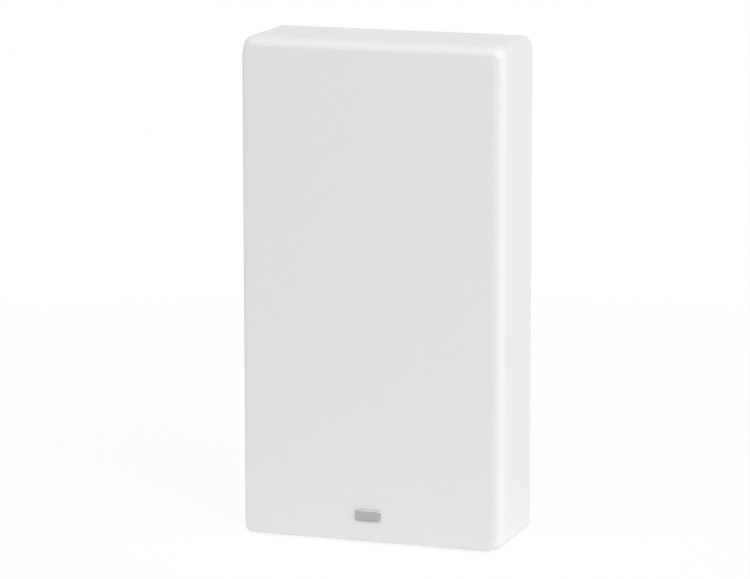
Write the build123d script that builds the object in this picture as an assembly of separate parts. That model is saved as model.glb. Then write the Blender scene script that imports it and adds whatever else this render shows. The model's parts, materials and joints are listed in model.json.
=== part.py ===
from build123d import *
import math
import os

# Slim on-wall loudspeaker: a lacquered closed cabinet, two woofers either side of a dome tweeter,
# a push-on cloth grille, and a recessed terminal cup and hanging plates at the back.
# +Z is up and +X is to the right of someone facing the front, which looks towards -Y.
# The origin is under the middle of the whole speaker, at the height of its base.
# All sizes are in millimetres.

# Cabinet
cabinet_width = 206.0
cabinet_height = 380.0
cabinet_depth = 71.0
corner_radius = 9.0  # the four edges that run from front to back
front_edge_step = 0.5  # how much tighter the front edge is rounded than the corners
wall = 11.0
baffle = 12.0  # the front wall, which carries the drivers
rear_panel_thickness = 9.0
rear_lip = 5.0  # cabinet edge that shows round the rear panel
cavity_corner_radius = 3.0

# Fits shared by many pieces
fit_gap = 0.2  # gap round a piece let into another
glue_line = 0.05  # gap between glued or threaded pieces
overrun = 1.0  # how far a cutter runs past the face it opens

# Grille
grille_inset = 3.9  # how far the grille's edge lies inside the cabinet's
grille_drop = 2.0  # how far the grille sits below the middle of the cabinet
grille_depth = 8.0  # how far it stands in front of the cabinet
grille_corner_radius = 6.0
grille_edge_radius = 2.5
grille_gap = 0.3  # shadow gap between cloth and cabinet
cloth_thickness = 0.8
cloth_turn_in = 8.0  # width of cloth glued behind the frame
cloth_turn_in_corner_radius = 2.0
cross_bar = 14.0
window_margin = 4.0  # window left clear round the edge of each woofer's roll
window_corner_radius = 8.0
window_chamfer = 4.0  # slope on the back edge of each window

# Grille pegs and the rubber cups that take them
peg_radius = 2.9
peg_root = 4.5  # length set into the frame
peg_reach = 9.0  # length behind the frame
peg_tip_radius = 1.2
peg_land = 0.8  # least width left beside a peg or a cup
peg_clearance = 0.12
cup_wall = 1.8
cup_floor = 1.2
cup_flange = 1.5  # how far the cup's flange spreads past its wall
cup_flange_thickness = 1.0
cup_end_room = 0.6  # room between a peg's tip and its cup's floor

# Blank badge on the grille
badge_width = 20.0
badge_height = 8.6
badge_thickness = 1.6
badge_corner_radius = 1.5
badge_bevel = 0.7
badge_rise = 20.6  # badge centre above the grille's lower edge
badge_pin_radius = 0.8
badge_pin_length = 4.0
badge_pin_spacing = 12.0

# Driver layout and screws
driver_gap = 8.0  # baffle left between tweeter and woofer flanges
driver_gasket = 1.0
driver_screws = 4
hex_socket_radius = 1.45
hex_socket_depth = 0.9

# Woofers
woofer_flange = 4.5
woofer_flange_rim = 1.0  # metal left outside the screw heads
woofer_screw_land = 1.2  # metal left between the screw heads and the surround
woofer_screw_head_radius = 3.3
woofer_screw_head = 2.2
woofer_screw_shank_radius = 1.7
woofer_screw_length = 8.0
surround_outer_lip = 4.7  # width of the surround's seat on the basket
surround_seat_depth = 1.6
surround_thickness = 0.8
roll_outer_radius = 48.5
roll_width = 8.0
surround_lip = 3.0  # width of surround glued to the cone's rim
cone_thickness = 0.9
cone_neck_depth = 15.0
cone_collar = 3.0  # length of the cone's neck along the coil former
dust_cap_radius = 17.0
dust_cap_rise = 5.0
dust_cap_thickness = 0.6
basket_clearance = 1.0  # between the basket and the cabinet's cut-out
cutout_land = 1.3  # how far the cut-out lies outside the surround's seat
basket_wall = 2.5
spoke_count = 6
spoke_width = 9.0
window_inner_margin = 1.5
spider_clearance = 1.0  # between the cone's neck and the spider
spider_room = 10.4  # from the spider's seat to the magnet
spider_seat_radius = 34.0
spider_shelf = 4.0  # width of the ledge that carries the spider
spider_shelf_thickness = 2.0
spider_thickness = 0.6
spider_waves = 4
spider_wave_height = 1.3
spider_hub = 2.6  # flat ring round the coil former
coil_radius = 12.8  # outside of the coil former
coil_former_thickness = 0.3
coil_winding = 0.9
coil_winding_length = 9.0
coil_tail = 1.0  # former left below the winding
coil_gap = 0.5  # running gap on each side of the coil
top_plate_radius = 37.0
top_plate_thickness = 5.0
magnet_radius = 41.0
magnet_hole_radius = 19.0
magnet_thickness = 12.0
yoke_radius = 37.0
yoke_thickness = 5.0
pole_vent_radius = 4.0

# Tweeter
tweeter_flange = 4.0
tweeter_flange_rim = 1.1
tweeter_screw_land = 1.5
tweeter_clearance = 2.0  # between the magnet and the cabinet's cut-out
tweeter_screw_head_radius = 2.7
tweeter_screw_head = 1.8
tweeter_screw_shank_radius = 1.4
tweeter_screw_length = 8.0
waveguide_mouth_radius = 30.0
waveguide_depth = 6.0
tweeter_boss = 3.5  # depth of faceplate behind its flange
dome_radius = 12.6
dome_rise = 5.5
dome_roll_width = 3.0
dome_thickness = 0.4
dome_rim_radius = 21.0
tweeter_coil_inset = 0.2  # how far the coil lies inside the dome's edge
tweeter_coil_thickness = 0.5
tweeter_coil_length = 6.0
tweeter_coil_gap = 0.35
tweeter_top_plate_radius = 27.0
tweeter_top_plate_thickness = 4.0
tweeter_magnet_radius = 29.0
tweeter_magnet_hole_radius = 17.0
tweeter_magnet_thickness = 9.0
tweeter_yoke_radius = 27.0
tweeter_yoke_thickness = 4.0

# Terminal cup
terminal_drop = 32.0  # cup centre below the middle of the cabinet
terminal_flange = 2.5
terminal_land = 10.5  # width of flange round the recess
terminal_corner_radius = 6.0
recess_width = 62.0
recess_height = 40.0
recess_depth = 25.0
recess_taper = 4.0  # degrees
terminal_wall = 2.2
terminal_screw_head_radius = 2.6
terminal_screw_head = 1.6
terminal_screw_shank_radius = 1.4
terminal_screw_length = 6.0

# Binding posts
post_spacing = 19.05
post_radius = 3.0
post_height = 19.0  # above the floor of the cup
post_tail = 12.0  # below the floor of the cup
post_shoulder_radius = 5.0
post_shoulder = 1.2
socket_radius = 2.0  # takes a 4 mm plug
socket_floor = 1.1  # metal left between the socket and the wire hole
wire_hole_radius = 1.1
collar_radius = 6.4
collar_thickness = 3.0
collar_spigot_radius = 4.4
washer_radius = 5.6
washer_thickness = 1.2
knob_radius = 6.4
knob_height = 12.0
knob_flutes = 12
knob_flute_radius = 0.9
knob_chamfer = 0.8
thread_gap = 0.1
nut_across_flats = 10.0
nut_thickness = 4.5

# Hanging plates and bumpers
keyhole_inset = 37.5  # entry centre from the side of the cabinet
keyhole_drop = 46.0  # entry centre below the top of the cabinet
keyhole_plate_width = 46.0
keyhole_plate_height = 28.0
keyhole_plate_thickness = 1.5
keyhole_plate_corner_radius = 4.0
keyhole_entry_radius = 4.6
keyhole_slot_radius = 2.4
keyhole_rise = 9.0  # from the entry's centre to where the screw seats
keyhole_pocket_margin = 1.9
keyhole_pocket_depth = 5.5
keyhole_screw_inset = 6.0
keyhole_screw_head_radius = 2.8
keyhole_screw_head = 1.4
keyhole_screw_shank_radius = 1.3
keyhole_screw_length = 6.0
bumper_radius = 6.0
bumper_height = 2.5
bumper_edge_radius = 0.8
bumper_inset = 16.0

# Crossover
board_margin = 6.5  # board left beside the row of parts
part_gap = 3.0  # between the parts in the row
board_height = 52.0
board_thickness = 1.6
board_rise = 34.0  # board centre above the middle of the cabinet
board_hole_inset = 5.0
spacer_radius = 3.5
spacer_height = 5.0
board_screw_head_radius = 2.6
board_screw_head = 1.6
board_screw_shank_radius = 1.4
board_screw_length = 12.0
seat_gap = 0.1  # solder fillet height under the parts on the board
woofer_coil_radius = 18.0
woofer_coil_hole_radius = 8.0
woofer_coil_height = 14.0
tweeter_coil_ring_radius = 10.0
tweeter_coil_ring_hole_radius = 4.5
tweeter_coil_ring_height = 11.0
tweeter_coil_rise = 5.0
coil_edge_radius = 1.5
capacitor_radius = 6.5
capacitor_length = 26.0
capacitor_edge_radius = 1.0
resistor_length = 22.0
resistor_width = 9.0
resistor_height = 8.0

# Wadding
wadding_side_room = 10.0  # between the wadding and the crossover board
wadding_front_room = 7.7  # between the wadding and the baffle
wadding_edge_radius = 8.0
wadding_gap = 0.3

# Places worked out from the sizes above, from the wall forwards
overall_depth = bumper_height + cabinet_depth + grille_depth + badge_thickness
wall_y = overall_depth / 2
back_y = wall_y - bumper_height
front_y = back_y - cabinet_depth
panel_y = back_y - rear_panel_thickness
middle_z = cabinet_height / 2
front_edge_radius = corner_radius - front_edge_step
surround_seat_radius = roll_outer_radius + surround_outer_lip
roll_inner_radius = roll_outer_radius - roll_width
woofer_screw_circle = surround_seat_radius + woofer_screw_land + woofer_screw_head_radius
woofer_flange_radius = woofer_screw_circle + woofer_screw_head_radius + woofer_flange_rim
woofer_cutout_radius = surround_seat_radius + cutout_land
spider_depth = cone_neck_depth + cone_collar + spider_clearance + spider_thickness
basket_depth = spider_depth + spider_room
tweeter_screw_circle = waveguide_mouth_radius + tweeter_screw_land + tweeter_screw_head_radius
tweeter_flange_radius = tweeter_screw_circle + tweeter_screw_head_radius + tweeter_flange_rim
tweeter_cutout_radius = tweeter_magnet_radius + tweeter_clearance
dome_roll_radius = dome_radius + dome_roll_width
waveguide_throat_radius = dome_roll_radius + fit_gap
tweeter_coil_radius = dome_radius - tweeter_coil_inset
woofer_offset = tweeter_flange_radius + driver_gap + woofer_flange_radius
woofer_centres = {"upper": middle_z + woofer_offset, "lower": middle_z - woofer_offset}
terminal_z = middle_z - terminal_drop
board_z = middle_z + board_rise
keyhole_z = cabinet_height - keyhole_drop
grille_width = cabinet_width - 2 * grille_inset
grille_height = cabinet_height - 2 * grille_inset
grille_z = middle_z - grille_drop
peg_bore_radius = peg_radius + peg_clearance
cup_radius = peg_bore_radius + cup_wall
cup_seat_radius = cup_radius + cup_flange + fit_gap
peg_inset = peg_land + max(cloth_thickness + cloth_turn_in + peg_radius,
                           front_edge_radius - grille_inset + grille_drop + cup_seat_radius)
side_bar = peg_inset - cloth_thickness + peg_radius + peg_land + window_chamfer
terminal_flange_width = recess_width + 2 * terminal_land
terminal_flange_height = recess_height + 2 * terminal_land
rear_opening_radius = max(corner_radius - rear_lip, glue_line)


# Building blocks


def outline(width, height, radius, x=0.0, z=middle_z):
    """A rounded rectangle in front view, centred at a place on the cabinet."""
    return Pos(x, z) * RectangleRounded(width, height, radius)


def slab(shape, back, front):
    """A front-view shape made solid between two depths."""
    return extrude(Plane.XZ.offset(-back) * shape, amount=back - front)


def facing_front(x, y, z):
    """A place whose own Z looks out of the front of the speaker."""
    return Plane((x, y, z), x_dir=(1, 0, 0), z_dir=(0, -1, 0)).location


def facing_rear(x, y, z):
    """A place whose own Z looks out of the back of the speaker."""
    return Plane((x, y, z), x_dir=(-1, 0, 0), z_dir=(0, 1, 0)).location


def disc(radius, low, high):
    """A cylinder about Z between two heights."""
    return Pos(0, 0, low) * Cylinder(radius, high - low, align=(Align.CENTER, Align.CENTER, Align.MIN))


def profile_points(points):
    return [(r, 0, z) for r, z in points]


def turned(points):
    """A solid of revolution about Z from the corners of its half section, as (radius, height)."""
    return revolve(make_face(Polyline(*profile_points(points), close=True)), Axis.Z)


def ring(inner, outer, low, high):
    return turned([(inner, low), (outer, low), (outer, high), (inner, high)])


def cap_arc(radius, rise, base):
    """Half of a spherical cap's section, from its edge to its top."""
    sphere = (radius**2 + rise**2) / (2 * rise)
    half_angle = math.asin(min(radius / sphere, 1.0)) / 2
    centre = base + rise - sphere
    middle = (sphere * math.sin(half_angle), centre + sphere * math.cos(half_angle))
    return ThreePointArc(*profile_points([(radius, base), middle, (0, base + rise)]))


def screw(head_radius, head, shank_radius, length):
    """A flat-headed screw with a hexagon socket, its head's underside at Z 0."""
    tip = shank_radius
    body = turned([(0, head), (head_radius, head), (head_radius, 0), (shank_radius, 0),
                   (shank_radius, tip - length), (0, -length)])
    socket = Pos(0, 0, head - hex_socket_depth) * extrude(
        RegularPolygon(hex_socket_radius, 6), amount=hex_socket_depth + overrun)
    return body - socket


def round_the_circle(count, radius, first=45.0):
    return [(radius * math.cos(math.radians(first + 360 * i / count)),
             radius * math.sin(math.radians(first + 360 * i / count))) for i in range(count)]


def group(solids):
    """Separate solids kept together as one piece of the parts list."""
    return Compound(children=[solid for part in solids for solid in part.solids()])


woofer_rebate = woofer_flange + driver_gasket
tweeter_rebate = tweeter_flange + driver_gasket
woofer_screw_seat = -woofer_screw_head
tweeter_screw_seat = -tweeter_screw_head
woofer_screws_at = round_the_circle(driver_screws, woofer_screw_circle)
tweeter_screws_at = round_the_circle(driver_screws, tweeter_screw_circle)


# Cabinet


def driver_opening(flange_radius, rebate, cutout_radius, screws_at, shank_radius, screw_tip):
    """What is cut from the baffle for one driver: a rebate, a hole and the screws' pilot holes."""
    opening = disc(flange_radius + fit_gap, -rebate, overrun) + disc(cutout_radius, -baffle - overrun, 0)
    for x, y in screws_at:
        opening += Pos(x, y) * disc(shank_radius + glue_line, screw_tip - glue_line, -rebate + overrun)
    return opening


def peg_places():
    across = grille_width / 2 - peg_inset
    up = grille_height / 2 - peg_inset
    return [(side * across, grille_z + level * up) for side in (-1, 1) for level in (-1, 0, 1)]


cup_bore = peg_reach - grille_gap - cloth_thickness + cup_end_room
cup_length = cup_bore + cup_floor


def cabinet():
    body = slab(outline(cabinet_width, cabinet_height, corner_radius), back_y, front_y)
    body = fillet(body.faces().sort_by(Axis.Y)[0].edges(), front_edge_radius)
    body -= slab(outline(cabinet_width - 2 * wall, cabinet_height - 2 * wall, cavity_corner_radius),
                 back_y + overrun, front_y + baffle)
    body -= slab(outline(cabinet_width - 2 * rear_lip, cabinet_height - 2 * rear_lip, rear_opening_radius),
                 back_y + overrun, panel_y)
    woofer_hole = driver_opening(woofer_flange_radius, woofer_rebate, woofer_cutout_radius, woofer_screws_at,
                                 woofer_screw_shank_radius, woofer_screw_seat - woofer_screw_length)
    for centre in woofer_centres.values():
        body -= facing_front(0, front_y, centre) * woofer_hole
    body -= facing_front(0, front_y, middle_z) * driver_opening(
        tweeter_flange_radius, tweeter_rebate, tweeter_cutout_radius, tweeter_screws_at,
        tweeter_screw_shank_radius, tweeter_screw_seat - tweeter_screw_length)
    cup_hole = disc(cup_radius + fit_gap, -cup_length - glue_line, overrun) + disc(
        cup_seat_radius, -cup_flange_thickness, overrun)
    for x, z in peg_places():
        body -= facing_front(x, front_y, z) * cup_hole
    return body


def keyhole_places():
    across = cabinet_width / 2 - keyhole_inset
    return {"left": -across, "right": across}


def keyhole_screw_places():
    across = keyhole_plate_width / 2 - keyhole_screw_inset
    return [(-across, keyhole_rise / 2), (across, keyhole_rise / 2)]


def keyhole_pocket():
    """The hollow behind a hanging plate, with the plate's own seat and its screws' pilot holes."""
    radius = keyhole_entry_radius + keyhole_pocket_margin
    floor = keyhole_plate_thickness + keyhole_pocket_depth
    run = SlotCenterToCenter(keyhole_rise, 2 * radius, rotation=90)
    pocket = Pos(0, keyhole_rise / 2, -floor) * extrude(run, amount=floor)
    seat = RectangleRounded(keyhole_plate_width + 2 * fit_gap, keyhole_plate_height + 2 * fit_gap,
                            keyhole_plate_corner_radius)
    pocket += Pos(0, keyhole_rise / 2, -keyhole_plate_thickness) * extrude(
        seat, amount=keyhole_plate_thickness + overrun)
    depth = keyhole_screw_head + keyhole_screw_length + glue_line
    for x, y in keyhole_screw_places():
        pocket += Pos(x, y) * disc(keyhole_screw_shank_radius + glue_line, -depth, 0)
    return pocket


def terminal_screw_places():
    across = (recess_width + terminal_land) / 2
    up = (recess_height + terminal_land) / 2
    return [(x, z) for x in (-across, across) for z in (-up, up)]


def board_screw_places():
    across = board_width / 2 - board_hole_inset
    up = board_height / 2 - board_hole_inset
    return [(x, z) for x in (-across, across) for z in (-up, up)]


def rear_panel():
    panel = slab(outline(cabinet_width - 2 * rear_lip - 2 * fit_gap, cabinet_height - 2 * rear_lip - 2 * fit_gap,
                         rear_opening_radius), back_y, panel_y)
    for x in keyhole_places().values():
        panel -= facing_rear(x, back_y, keyhole_z) * keyhole_pocket()
    cup_seat = outline(terminal_flange_width + 2 * fit_gap, terminal_flange_height + 2 * fit_gap,
                       terminal_corner_radius, z=terminal_z)
    cup_hole = outline(recess_width + 2 * terminal_wall + 2 * fit_gap,
                       recess_height + 2 * terminal_wall + 2 * fit_gap, terminal_corner_radius, z=terminal_z)
    panel -= slab(cup_seat, back_y + overrun, back_y - terminal_flange)
    panel -= slab(cup_hole, back_y, panel_y - overrun)
    for x, z in terminal_screw_places():
        depth = terminal_screw_head + terminal_screw_length + glue_line
        panel -= facing_rear(x, back_y, terminal_z + z) * disc(terminal_screw_shank_radius + glue_line, -depth, 0)
    for x, z in board_screw_places():
        depth = board_screw_length - spacer_height - board_thickness + glue_line
        panel -= facing_front(x, panel_y, board_z + z) * disc(
            board_screw_shank_radius + glue_line, -depth, overrun)
    return panel


def wall_bumpers():
    bumper = disc(bumper_radius, 0, bumper_height)
    bumper = fillet(bumper.edges().sort_by(Axis.Z)[-1], bumper_edge_radius)
    across, up = cabinet_width / 2 - bumper_inset, middle_z - bumper_inset
    return group([facing_rear(x, back_y, middle_z + z) * bumper for x in (-across, across) for z in (-up, up)])


def wadding():
    """A soft pad along each side wall, between the baffle and the rear panel."""
    height = cabinet_height - 2 * wall - 2 * wadding_gap
    outer = cabinet_width / 2 - wall - wadding_gap
    width = outer - board_width / 2 - wadding_side_room
    depth = cabinet_depth - baffle - rear_panel_thickness - wadding_front_room - wadding_gap
    pad = fillet(Box(width, depth, height).edges(), wadding_edge_radius)
    across = outer - width / 2
    return group([Pos(x, panel_y - wadding_gap - depth / 2, middle_z) * pad for x in (-across, across)])


# Hanging plates


def keyhole_plate(x):
    plate = extrude(Pos(0, keyhole_rise / 2) * RectangleRounded(
        keyhole_plate_width, keyhole_plate_height, keyhole_plate_corner_radius), amount=-keyhole_plate_thickness)
    slot = SlotCenterToCenter(keyhole_rise, 2 * keyhole_slot_radius, rotation=90)
    plate -= Pos(0, keyhole_rise / 2, -keyhole_plate_thickness - overrun) * extrude(
        slot, amount=keyhole_plate_thickness + 2 * overrun)
    plate -= disc(keyhole_entry_radius, -keyhole_plate_thickness - overrun, overrun)
    for px, py in keyhole_screw_places():
        plate -= Pos(px, py) * countersink(keyhole_screw_head_radius, keyhole_screw_head, keyhole_screw_shank_radius)
    return facing_rear(x, back_y, keyhole_z) * plate


def countersink(head_radius, head, shank_radius):
    """A cone for a countersunk head whose top is flush at Z 0, with its clearance hole."""
    return turned([(0, overrun), (head_radius + fit_gap, overrun), (head_radius + fit_gap, 0),
                   (shank_radius + fit_gap, -head), (shank_radius + fit_gap, -head - overrun),
                   (0, -head - overrun)])


def keyhole_screws():
    body = turned([(0, 0), (keyhole_screw_head_radius, 0), (keyhole_screw_shank_radius, -keyhole_screw_head),
                   (keyhole_screw_shank_radius, -keyhole_screw_head - keyhole_screw_length + keyhole_screw_shank_radius),
                   (0, -keyhole_screw_head - keyhole_screw_length)])
    body -= Pos(0, 0, -hex_socket_depth) * extrude(
        RegularPolygon(hex_socket_radius, 6), amount=hex_socket_depth + overrun)
    return group([facing_rear(x, back_y, keyhole_z) * Pos(px, py) * body
                  for x in keyhole_places().values() for px, py in keyhole_screw_places()])


# Grille

cloth_back_y = front_y - grille_gap
cloth_front_y = front_y - grille_depth
frame_back_y = cloth_back_y - cloth_thickness
frame_front_y = cloth_front_y + cloth_thickness
frame_width = grille_width - 2 * cloth_thickness
frame_height = grille_height - 2 * cloth_thickness


def grille_block(inset, back, front):
    """The grille's solid envelope, with rounded corners and a rounded front edge."""
    block = slab(outline(grille_width - 2 * inset, grille_height - 2 * inset, grille_corner_radius - inset,
                         z=grille_z), back, front)
    return fillet(block.faces().sort_by(Axis.Y)[0].edges(), grille_edge_radius - inset)


def window(low, high):
    """One opening in the frame, with its back edge sloped away from the driver behind it."""
    width = frame_width - 2 * side_bar
    shape = outline(width, high - low, window_corner_radius, z=(low + high) / 2)
    opening = slab(shape, frame_back_y + overrun, frame_front_y - overrun)
    wide = outline(width + 2 * window_chamfer, high - low + 2 * window_chamfer,
                   window_corner_radius + window_chamfer, z=(low + high) / 2)
    slope = extrude(Plane.XZ.offset(-frame_back_y) * wide, amount=window_chamfer, taper=45)
    return opening + slope


def grille_frame():
    frame = grille_block(cloth_thickness, frame_back_y, frame_front_y)
    half_tweeter = tweeter_flange_radius + driver_gap / 2
    bottom = woofer_centres["lower"] - roll_outer_radius - window_margin
    top = woofer_centres["upper"] + roll_outer_radius + window_margin
    for low, high in ((bottom, middle_z - half_tweeter - cross_bar / 2),
                      (middle_z - half_tweeter + cross_bar / 2, middle_z + half_tweeter - cross_bar / 2),
                      (middle_z + half_tweeter + cross_bar / 2, top)):
        frame -= window(low, high)
    for x, z in peg_places():
        frame -= facing_rear(x, frame_back_y, z) * disc(peg_radius + glue_line, -peg_root - glue_line, overrun)
    for x in badge_pins():
        hole = disc(badge_pin_radius + glue_line, -badge_pin_length - glue_line, overrun)
        frame -= facing_front(x, cloth_front_y, badge_z) * hole
    return frame


def grille_cloth():
    """Cloth stretched over the frame's front and sides and glued down behind its edge."""
    cloth = grille_block(0, cloth_back_y, cloth_front_y) - grille_block(cloth_thickness, frame_back_y, frame_front_y)
    open_width = frame_width - 2 * cloth_turn_in
    open_height = frame_height - 2 * cloth_turn_in
    cloth -= slab(outline(open_width, open_height, cloth_turn_in_corner_radius, z=grille_z),
                  cloth_back_y + overrun, frame_back_y)
    for x, z in peg_places():
        cloth -= facing_rear(x, frame_back_y, z) * disc(peg_radius + glue_line, 0, cloth_thickness + overrun)
    for x in badge_pins():
        cloth -= facing_front(x, cloth_front_y, badge_z) * disc(
            badge_pin_radius + glue_line, -cloth_thickness, overrun)
    return cloth


def grille_pegs():
    peg = disc(peg_radius, -peg_root, peg_reach)
    peg = fillet(peg.edges().sort_by(Axis.Z)[-1], peg_tip_radius)
    return group([facing_rear(x, frame_back_y, z) * peg for x, z in peg_places()])


def grille_cups():
    """Rubber cups pressed into the baffle, flush with its front."""
    cup = turned([(0, -cup_length), (cup_radius, -cup_length), (cup_radius, -cup_flange_thickness),
                  (cup_radius + cup_flange, -cup_flange_thickness), (cup_radius + cup_flange, 0),
                  (peg_bore_radius, 0), (peg_bore_radius, -cup_bore), (0, -cup_bore)])
    return group([facing_front(x, front_y, z) * cup for x, z in peg_places()])


badge_z = grille_z - grille_height / 2 + badge_rise


def badge_pins():
    return (-badge_pin_spacing / 2, badge_pin_spacing / 2)


def grille_badge():
    """A plain bevelled plate held by two pins."""
    plate = extrude(RectangleRounded(badge_width, badge_height, badge_corner_radius), amount=badge_thickness)
    plate = chamfer(plate.faces().sort_by(Axis.Z)[-1].edges(), badge_bevel)
    for x in badge_pins():
        plate += Pos(x, 0) * disc(badge_pin_radius, -badge_pin_length, 0)
    return facing_front(0, cloth_front_y, badge_z) * plate


# Woofers, each built about its own axis with Z 0 at the baffle's front face

cone_edge_radius = roll_inner_radius - surround_lip
neck_radius = coil_radius + glue_line
cone_slope = (cone_neck_depth - surround_seat_depth) / (cone_edge_radius - neck_radius)
coil_inner_radius = coil_radius - coil_former_thickness
coil_outer_radius = coil_radius + coil_winding
pole_radius = coil_inner_radius - coil_gap
top_plate_hole_radius = coil_outer_radius + coil_gap
magnet_front = -basket_depth - top_plate_thickness
magnet_back = magnet_front - magnet_thickness
winding_middle = -basket_depth - top_plate_thickness / 2


def cone_front(radius):
    """Height of the cone's front surface at a radius."""
    return -surround_seat_depth - (cone_edge_radius - radius) * cone_slope


def basket():
    """Cast frame: a flange, a spoked bowl, a ledge for the spider and a rear ring for the magnet."""
    bowl_radius = woofer_cutout_radius - basket_clearance
    rear_radius = spider_seat_radius + basket_wall
    inner_radius = roll_outer_radius + basket_clearance / 2
    shelf_radius = spider_seat_radius - spider_shelf
    frame = turned([
        (woofer_flange_radius, 0), (woofer_flange_radius, -woofer_flange), (bowl_radius, -woofer_flange),
        (rear_radius, -spider_depth), (rear_radius, -basket_depth),
        (top_plate_hole_radius + basket_wall, -basket_depth),
        (top_plate_hole_radius + basket_wall, -basket_depth + basket_wall),
        (spider_seat_radius, -basket_depth + basket_wall),
        (spider_seat_radius, -spider_depth - spider_shelf_thickness),
        (shelf_radius, -spider_depth - spider_shelf_thickness), (shelf_radius, -spider_depth),
        (spider_seat_radius, -spider_depth), (spider_seat_radius, -spider_depth + spider_shelf_thickness),
        (inner_radius, -woofer_flange), (inner_radius, -surround_seat_depth),
        (surround_seat_radius, -surround_seat_depth), (surround_seat_radius, 0)])
    openings = Circle(inner_radius - window_inner_margin) - Circle(rear_radius + window_inner_margin)
    for i in range(spoke_count):
        openings -= Rot(0, 0, 360 * i / spoke_count) * Pos(inner_radius / 2, 0) * Rectangle(inner_radius, spoke_width)
    frame -= Pos(0, 0, -basket_depth) * extrude(openings, amount=basket_depth)
    for x, y in woofer_screws_at:
        frame -= Pos(x, y) * disc(woofer_screw_head_radius + fit_gap, woofer_screw_seat, overrun)
        frame -= Pos(x, y) * disc(woofer_screw_shank_radius + fit_gap, -woofer_flange - overrun, 0)
    return frame


def woofer_gasket():
    """Foam ring under the flange, with a hole for each screw."""
    foam = ring(woofer_cutout_radius, woofer_flange_radius, -woofer_rebate, -woofer_flange)
    for x, y in woofer_screws_at:
        foam -= Pos(x, y) * disc(woofer_screw_shank_radius + fit_gap, -woofer_rebate - overrun, 0)
    return foam


def surround():
    """Rubber half roll between a lip on the basket and a lip on the cone."""
    low, high = -surround_seat_depth, -surround_seat_depth + surround_thickness
    middle = (roll_outer_radius + roll_inner_radius) / 2
    roll = (roll_outer_radius - roll_inner_radius) / 2
    inner_roll = roll - surround_thickness
    outer_edge, inner_edge = surround_seat_radius - fit_gap, cone_edge_radius
    flat_over = math.sqrt(roll**2 - surround_thickness**2)
    corners = profile_points([
        (outer_edge, low), (outer_edge, high), (middle + flat_over, high), (middle, low + roll),
        (middle - flat_over, high), (inner_edge, high), (inner_edge, low), (middle - inner_roll, low),
        (middle, low + inner_roll), (middle + inner_roll, low)])
    section = [Line(corners[0], corners[1]), Line(corners[1], corners[2]),
               ThreePointArc(corners[2], corners[3], corners[4]), Line(corners[4], corners[5]),
               Line(corners[5], corners[6]), Line(corners[6], corners[7]),
               ThreePointArc(corners[7], corners[8], corners[9]), Line(corners[9], corners[0])]
    return revolve(make_face(section), Axis.Z)


def cone():
    collar_radius_out = neck_radius + cone_thickness
    rim = -surround_seat_depth
    return turned([
        (roll_inner_radius - fit_gap, rim), (cone_edge_radius, rim), (neck_radius, -cone_neck_depth),
        (neck_radius, -cone_neck_depth - cone_collar), (collar_radius_out, -cone_neck_depth - cone_collar),
        (collar_radius_out, cone_front(collar_radius_out) - cone_thickness),
        (cone_edge_radius, rim - cone_thickness), (roll_inner_radius - fit_gap, rim - cone_thickness)])


def dust_cap():
    base = cone_front(dust_cap_radius) + glue_line
    inner_radius = dust_cap_radius - dust_cap_thickness
    inner_base = cone_front(inner_radius) + glue_line
    inner_rise = base + dust_cap_rise - dust_cap_thickness - inner_base
    outer, inner = cap_arc(dust_cap_radius, dust_cap_rise, base), cap_arc(inner_radius, inner_rise, inner_base)
    section = [outer, Line(outer @ 1, inner @ 1), inner, Line(inner @ 0, outer @ 0)]
    return revolve(make_face(section), Axis.Z)


def spider():
    """Corrugated cloth disc that centres the coil, glued to the basket's ledge."""
    edge_radius = spider_seat_radius - fit_gap
    first = spider_seat_radius - spider_shelf + spider_thickness
    last = neck_radius + spider_hub
    folds = 2 * spider_waves
    crests = [(first + (last - first) * i / folds, spider_wave_height * math.sin(math.pi * i / 2))
              for i in range(1, folds, 2)]
    upper = [(edge_radius, 0), (first, 0), *crests, (last, 0), (neck_radius, 0)]
    section = [(r, z - spider_depth + spider_thickness) for r, z in upper]
    section += [(r, z - spider_depth) for r, z in reversed(upper)]
    return turned(section)


def voice_coil():
    """Thin former with its winding, hung in the magnet's gap."""
    top = -cone_neck_depth - glue_line
    winding_top = winding_middle + coil_winding_length / 2
    winding_end = winding_middle - coil_winding_length / 2
    return turned([
        (coil_inner_radius, top), (coil_radius, top), (coil_radius, winding_top), (coil_outer_radius, winding_top),
        (coil_outer_radius, winding_end), (coil_radius, winding_end), (coil_radius, winding_end - coil_tail),
        (coil_inner_radius, winding_end - coil_tail)])


def top_plate():
    return ring(top_plate_hole_radius, top_plate_radius, magnet_front, -basket_depth)


def magnet():
    return ring(magnet_hole_radius, magnet_radius, magnet_back, magnet_front)


def yoke():
    """Back plate and pole in one, with a vent through the middle."""
    back = magnet_back - yoke_thickness
    return turned([(pole_vent_radius, -basket_depth), (pole_radius, -basket_depth), (pole_radius, magnet_back),
                   (yoke_radius, magnet_back), (yoke_radius, back), (pole_vent_radius, back)])


woofer_pieces = {
    "basket": basket, "gasket": woofer_gasket, "surround": surround, "cone": cone, "dust_cap": dust_cap,
    "spider": spider, "voice_coil": voice_coil, "top_plate": top_plate, "magnet": magnet, "yoke": yoke}


def woofer_screws():
    one = Pos(0, 0, woofer_screw_seat) * screw(woofer_screw_head_radius, woofer_screw_head,
                                               woofer_screw_shank_radius, woofer_screw_length)
    return group([facing_front(0, front_y, centre) * Pos(x, y) * one
                  for centre in woofer_centres.values() for x, y in woofer_screws_at])


# Tweeter, built about its own axis with Z 0 at the baffle's front face

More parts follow.
